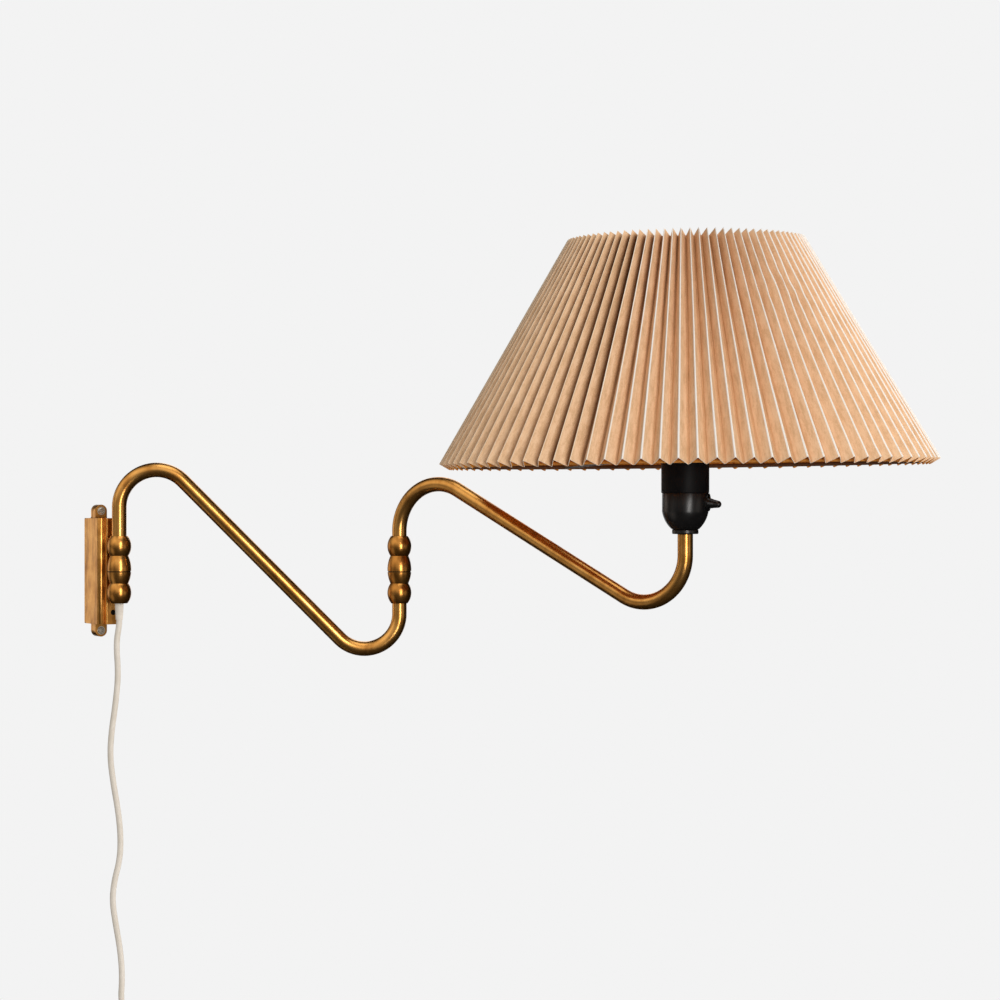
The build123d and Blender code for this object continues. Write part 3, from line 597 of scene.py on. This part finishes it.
def lit_share(index):
    """How far a crease takes the painted light: fully on the side that faces the light, not at all on the
    other.
    """
    angle = radians(pleat_phase + 180 * index / pleat_count)
    return min(max((cos(angle - lit_angle) - lit_from) / lit_fade, 0.0), 1.0)


def crumple(index, share):
    """Sideways shift of a crease where the sheet is wrinkled."""
    size = 0.0
    for at_crease, creases, at_share, shares, shift in wrinkles:
        size += shift * exp(-(((index - at_crease) / creases) ** 2) - ((share - at_share) / shares) ** 2)
    return size * noise.noise(Vector((index * 0.55, share * 13, 2.5)))


def crease_point(index, share):
    """Point of a crease at a share of its height: ridges are even, valleys odd, each a little uneven."""
    (low_r, low_z), (top_r, top_z) = valley_ends if index % 2 else ridge_ends
    seed = Vector((index * 1.73, share * 2.2, 0.4))
    sway = crease_sway * noise.noise(seed) + crease_shift * noise.noise(Vector((index * 2.31, 7.7, 0.0)))
    sway += crumple(index, share)
    radius = low_r + (top_r - low_r) * share
    angle = radians(pleat_phase + 180 * index / pleat_count) + sway / radius
    radius += crease_swell * noise.noise(seed + Vector((0, 0, 5)))
    z = low_z + (top_z - low_z) * share
    return settle @ Vector((socket_axis.x + radius * cos(angle), socket_axis.y + radius * sin(angle), z))


def sheet_row(share):
    """Points round the pleated sheet at a share of its height: place, how near to a ridge, how much painted
    light.
    """
    count = 2 * pleat_count
    corners = [crease_point(index, share) for index in range(count)]
    row = []
    for index, corner in enumerate(corners):
        to_last = (corners[index - 1] - corner).normalized()
        next_corner = corners[(index + 1) % count]
        to_next = (next_corner - corner).normalized()
        pale = lit_share(index)
        # Fold values slide from those away from the light to those towards it
        unlit_side_folds, painted_light = valley_folds if index % 2 else ridge_folds
        at_crease, beside = (new + (old - new) * pale for new, old in zip(unlit_side_folds, painted_light))
        sag_size = face_sag * noise.noise(Vector((index * 3.1, share * 9, 1.0)))
        sag = to_next.cross(up).normalized() * sag_size
        row.append((corner + to_last * crease_half, beside, pale))
        row.append((corner + (to_last + to_next) * (crease_half / 4), at_crease, pale))
        row.append((corner + to_next * crease_half, beside, pale))
        row.append(((corner + next_corner) / 2 + sag, 0.5, pale))
    return row


def pleated_sheet():
    """Folded paper, tan outside and golden inside, with pale cut edges."""
    rows = [sheet_row(step / (shade_rows - 1)) for step in range(shade_rows)]
    per_row = len(rows[0])
    verts = [point for row in rows for point, _, _ in row]
    faces = []
    for row in range(shade_rows - 1):
        for index in range(per_row):
            beside = (index + 1) % per_row
            faces.append(
                (
                    row * per_row + index,
                    row * per_row + beside,
                    (row + 1) * per_row + beside,
                    (row + 1) * per_row + index,
                )
            )
    piece = add_mesh("pleated_paper_shade", verts, faces, "arm_2")
    mesh = piece.data
    fold = mesh.attributes.new("fold", "FLOAT", "POINT")
    fold.data.foreach_set("value", [near for row in rows for _, near, _ in row])
    # How lit each crease is painted, read by the paper's painted shade and highlight
    painted_light = mesh.attributes.new("painted_light", "FLOAT", "POINT")
    painted_light.data.foreach_set("value", [pale for row in rows for _, _, pale in row])
    uv = mesh.uv_layers.new(name="UVMap")
    slope_length = hypot(shade_low_r - shade_top_r, shade_h)
    for polygon in mesh.polygons:
        row, index = divmod(polygon.index, per_row)
        corners = ((row, index), (row, index + 1), (row + 1, index + 1), (row + 1, index))
        for loop_index, (at_row, at_index) in zip(polygon.loop_indices, corners):
            u = at_index * pleat_width / 4
            uv.data[loop_index].uv = (u, slope_length * at_row / (shade_rows - 1))
    paint(piece, paper_outside, paper_inside, paper_edge)
    solid = piece.modifiers.new("sheet", "SOLIDIFY")
    solid.thickness = sheet_t
    solid.offset = -1
    solid.material_offset = 1
    solid.material_offset_rim = 2
    weighted = piece.modifiers.new("facets", "WEIGHTED_NORMAL")
    weighted.weight = 90
    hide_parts("pleated_shade")
    return piece


pleated_sheet()


# Cord
def coil_point(turn):
    """Middle of the wound cord after a number of turns: spiral in, climb a layer, spiral out."""
    half = coil_turns / 2
    radius = coil_out_r - coil_step * (half - abs(half - turn))
    climb = min(max((turn - half) * 2 + 0.5, 0), 1)
    layer = climb**2 * (3 - 2 * climb)
    angle = coil_start_angle - 2 * pi * turn
    depth = wall_axis.y - coil_step * layer
    return Vector((coil_x + radius * cos(angle), depth, coil_z + radius * sin(angle)))


def coil_direction(turn):
    step = 0.001
    return (coil_point(turn + step) - coil_point(turn - step)).normalized()


def cord_points():
    """The whole cord from the relief's end to the plug's neck."""
    start = Vector((0, wall_axis.y, relief_end_z))
    bends = [Vector((x, wall_axis.y + y, z)) for x, y, z in cord_bends]
    into_coil = coil_direction(0)
    coil_start = coil_point(0) - into_coil * coil_lead
    turns = coil_points_per_turn * coil_turns
    wound = [coil_point(step / coil_points_per_turn) for step in range(turns + 1)]
    tail = coil_point(coil_turns) + coil_direction(coil_turns) * coil_tail
    return [start, *bends, coil_start - into_coil * last_run, coil_start, *wound, tail]


def mains_cord():
    points = cord_points()
    curve = bpy.data.curves.new("mains_cord", "CURVE")
    curve.dimensions = "3D"
    curve.bevel_depth = 1.0
    curve.bevel_resolution = 6
    curve.use_fill_caps = True
    curve.resolution_u = 6
    spline = curve.splines.new("NURBS")
    spline.points.add(len(points) - 1)
    for control, point in zip(spline.points, points):
        control.co = (*point, 1)
        control.radius = cord_r
    spline.order_u = 3
    spline.use_endpoint_u = True
    piece = bpy.data.objects.new("mains_cord", curve)
    bpy.context.scene.collection.objects.link(piece)
    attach(piece, "bracket")
    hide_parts("cord_tube", "cord_coil")
    curve.materials.append(cord_cream)
    return piece


mains_cord()


# Heads of the two wall screws, on the ears
def wall_screw(name, z):
    """Screw head on an ear's front, with a near-black ring round it as painted shade in the gap and a
    socket painted dark as shade.
    """
    ear_front = Vector((0, -ear_front_out, z))
    outwards = Vector((0, -1, 0))
    head = lathe(name, screw_outline, ear_front, outwards, "bracket", dark=screw_shade_steps)
    # The socket's floor is painted dark as shade too
    head.data.polygons[-1].material_index = 1
    paint(head, screw_steel, screw_dark)


plate_low, plate_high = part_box("wall_plate")
wall_screw("wall_screw_high", plate_high.z - ear_r)
wall_screw("wall_screw_low", plate_low.z + ear_r)

# Finishes of the solids that stay as they are
finishes = {
    turned_brass: (
        "wall_lower_knuckle",
        "wall_upper_knuckle",
        "elbow_lower_knuckle",
        "elbow_upper_knuckle",
        "wall_pivot_sleeve",
        "elbow_pivot_sleeve",
        "wall_pivot_nut",
        "elbow_pivot_nut",
    ),
    seam_shade_metal: ("wall_thrust_washer", "elbow_thrust_washer"),
    upright_brass: ("wall_plate", "bracket_body", "pivot_bar"),
    black_satin: ("socket_lock_ring", "socket_cap", "switch_bush", "switch_toggle"),
    black_matt: ("socket_barrel", "switch_body", "shade_retaining_ring"),
    screw_dark: ("bar_screw",),
    wire_steel: (
        "knuckle_screws",
        "toggle_pin",
        "shade_fitter_ring",
        "shade_spokes",
    ),
    taped_hoop: ("shade_low_hoop",),
    painted_wire: ("shade_top_hoop",),
    contact_brass: ("socket_nipple", "screw_shell", "centre_contact", "plug_pins"),
    porcelain: ("socket_insulator",),
    cord_cream: ("strain_relief", "wall_flex", "arm_1_flex", "arm_2_flex"),
    plug_cream: ("plug_body",),
    tie_black: ("cord_tie",),
}
for material, names in finishes.items():
    for name in names:
        paint(nodes[name], material)
for name in ("wall_plate", "bracket_body"):
    soften(nodes[name], bracket_edge)
for name in ("socket_barrel", "socket_cap", "switch_bush"):
    soften(nodes[name], moulded_edge)


# Stage
backdrop_grey = 0.896
fill_glow = 0.26
floor_drop = 0.25
floor_r = 1.6
floor_full_share = 0.40
floor_gone_share = 0.98
room_r = 6.0
room_opening = radians(24)
light_centre = Vector((0.22, -0.28, 0.06))

# Softboxes as turn and rise from the camera, distance, width, height and glow
softboxes = {
    "front_strip": (18, 7, 2.8, 0.55, 2.2, 10.6),
    "right_strip": (103, 7, 2.0, 0.8, 2.4, 3.6),
    "left_panel": (-50, 12, 2.6, 2.4, 2.0, 0.16),
    "left_back": (-118, 10, 2.4, 1.4, 1.6, 0.20),
    "overhead": (20, 78, 2.0, 1.4, 1.4, 1.6),
    "behind": (175, 30, 2.6, 1.4, 1.4, 1.3),
}

# Softboxes that mirror-like surfaces don't show
unmirrored = ("right_strip",)

# Soft bright patches of the room as turn, rise, width and glow
room_glow = 0.016
room_patches = (
    (0, 0, 115, 0.045),
    (-5, 34, 42, 0.80),
    (-68, 36, 40, 0.95),
    (-72, -24, 26, 0.45),
    (-118, 0, 22, 0.86),
    (62, 0, 18, 0.55),
)


def studio_floor():
    """Pale round floor below the lamp that fades out into the backdrop."""
    middle = Vector(((cad_box[0].x + cad_box[1].x) / 2, (cad_box[0].y + cad_box[1].y) / 2, 0))
    low_z = cad_box[0].z - floor_drop
    sides = 64
    mesh = bpy.data.meshes.new("floor")
    ring = [
        (middle.x + floor_r * cos(2 * pi * i / sides), middle.y + floor_r * sin(2 * pi * i / sides), low_z)
        for i in range(sides)
    ]
    mesh.from_pydata(ring, [], [tuple(range(sides))])
    floor = bpy.data.objects.new("floor", mesh)
    bpy.context.scene.collection.objects.link(floor)
    shader = Shader("floor_pale")
    shader.surface.inputs["Base Color"].default_value = (0.86, 0.86, 0.86, 1)
    shader.put(Roughness=0.9)
    away = shader.add("ShaderNodeVectorMath", operation="DISTANCE")
    away.inputs[1].default_value = (middle.x, middle.y, low_z)
    shader.join(shader.place(), away.inputs[0])
    fade = shader.add("ShaderNodeMapRange", interpolation_type="SMOOTHSTEP")
    fade.inputs["From Min"].default_value = floor_r * floor_full_share
    fade.inputs["From Max"].default_value = floor_r * floor_gone_share
    fade.inputs["To Min"].default_value = 1.0
    fade.inputs["To Max"].default_value = 0.0
    shader.join(away.outputs["Value"], fade.inputs["Value"])
    shader.join(fade.outputs["Result"], shader.surface.inputs["Alpha"])
    floor.data.materials.append(shader.material)
    floor.visible_glossy = False
    return floor


def from_camera(turn, rise):
    """Direction from the lamp at a turn to the right of the camera and a rise above it, in degrees."""
    turn, rise = radians(turn), radians(rise)
    level = -view_forward * cos(turn) + view_right * sin(turn)
    return level * cos(rise) + up * sin(rise)


def studio_surround():
    """Dim room round the set that only reflections see, open towards the pale backdrop."""
    shape = bmesh.new()
    bmesh.ops.create_uvsphere(shape, u_segments=48, v_segments=24, radius=room_r)
    opening = []
    for face in shape.faces:
        if face.calc_center_median().normalized().dot(view_forward) > cos(room_opening):
            opening.append(face)
    bmesh.ops.delete(shape, geom=opening, context="FACES")
    mesh = bpy.data.meshes.new("dim_room")
    shape.to_mesh(mesh)
    shape.free()
    room = bpy.data.objects.new("dim_room", mesh)
    bpy.context.scene.collection.objects.link(room)
    material = bpy.data.materials.new("dim_room")
    material.cycles.emission_sampling = "NONE"
    material.use_nodes = True
    tree = material.node_tree
    tree.nodes.clear()
    place = tree.nodes.new("ShaderNodeTexCoord")
    way = tree.nodes.new("ShaderNodeVectorMath")
    way.operation = "NORMALIZE"
    tree.links.new(place.outputs["Object"], way.inputs[0])
    glow = tree.nodes.new("ShaderNodeEmission")
    glow.inputs["Color"].default_value = (1.0, 0.92, 0.82, 1)
    so_far = tree.nodes.new("ShaderNodeValue").outputs[0]
    so_far.default_value = room_glow
    for turn, rise, wide, bright in room_patches:
        near = tree.nodes.new("ShaderNodeVectorMath")
        near.operation = "DOT_PRODUCT"
        near.inputs[1].default_value = from_camera(turn, rise)
        tree.links.new(way.outputs["Vector"], near.inputs[0])
        fade = tree.nodes.new("ShaderNodeMapRange")
        fade.interpolation_type = "SMOOTHSTEP"
        fade.inputs["From Min"].default_value = cos(radians(wide))
        fade.inputs["From Max"].default_value = 1.0
        fade.inputs["To Max"].default_value = bright
        tree.links.new(near.outputs["Value"], fade.inputs["Value"])
        total = tree.nodes.new("ShaderNodeMath")
        tree.links.new(so_far, total.inputs[0])
        tree.links.new(fade.outputs["Result"], total.inputs[1])
        so_far = total.outputs[0]
    tree.links.new(so_far, glow.inputs["Strength"])
    output = tree.nodes.new("ShaderNodeOutputMaterial")
    tree.links.new(glow.outputs[0], output.inputs["Surface"])
    mesh.materials.append(material)
    room.visible_camera = False
    room.visible_diffuse = False
    room.visible_transmission = False
    room.visible_shadow = False
    return room


def studio_world():
    """Soft even light, with a pale backdrop for camera, mirror and glass rays."""
    world = bpy.data.worlds.new("studio")
    bpy.context.scene.world = world
    world.use_nodes = True
    tree = world.node_tree
    tree.nodes.clear()
    path = tree.nodes.new("ShaderNodeLightPath")
    seen = tree.nodes.new("ShaderNodeMath")
    seen.operation = "MAXIMUM"
    tree.links.new(path.outputs["Is Camera Ray"], seen.inputs[0])
    tree.links.new(path.outputs["Is Glossy Ray"], seen.inputs[1])
    also = tree.nodes.new("ShaderNodeMath")
    also.operation = "MAXIMUM"
    tree.links.new(seen.outputs[0], also.inputs[0])
    tree.links.new(path.outputs["Is Transmission Ray"], also.inputs[1])
    fill = tree.nodes.new("ShaderNodeBackground")
    fill.inputs["Color"].default_value = (1.0, 0.99, 0.98, 1)
    fill.inputs["Strength"].default_value = fill_glow
    pale = tree.nodes.new("ShaderNodeBackground")
    pale.inputs["Color"].default_value = (backdrop_grey, backdrop_grey, backdrop_grey, 1)
    either = tree.nodes.new("ShaderNodeMixShader")
    tree.links.new(also.outputs[0], either.inputs["Fac"])
    tree.links.new(fill.outputs[0], either.inputs[1])
    tree.links.new(pale.outputs[0], either.inputs[2])
    output = tree.nodes.new("ShaderNodeOutputWorld")
    tree.links.new(either.outputs[0], output.inputs["Surface"])


def softbox(name, turn, rise, distance, width, height, glow, mirrored):
    """Area light at a turn to the right of the camera and a rise above it, mirrored in metal or not."""
    towards = from_camera(turn, rise)
    lamp = bpy.data.lights.new(name, "AREA")
    lamp.shape = "RECTANGLE"
    lamp.size = width
    lamp.size_y = height
    lamp.energy = glow * pi * width * height
    lamp.color = (1.0, 0.975, 0.945)
    light = bpy.data.objects.new(name, lamp)
    light.location = light_centre + towards * distance
    light.rotation_mode = "QUATERNION"
    light.rotation_quaternion = towards.to_track_quat("Z", "Y")
    light.visible_camera = False
    light.visible_glossy = mirrored
    bpy.context.scene.collection.objects.link(light)


def studio_camera():
    lens = bpy.data.cameras.new("camera")
    lens.lens = camera_lens
    lens.sensor_width = camera_sensor
    camera = bpy.data.objects.new("camera", lens)
    place = socket_axis - view_forward * camera_distance - view_right * camera_beside_socket
    camera.location = (place.x, place.y, camera_height)
    camera.rotation_mode = "QUATERNION"
    camera.rotation_quaternion = view_forward.to_track_quat("-Z", "Y")
    bpy.context.scene.collection.objects.link(camera)
    bpy.context.scene.camera = camera


studio_floor()
studio_surround()
studio_world()
for name, setting in softboxes.items():
    softbox(name, *setting, mirrored=name not in unmirrored)
studio_camera()
bpy.context.scene.view_settings.view_transform = "Standard"

bpy.context.view_layer.update()
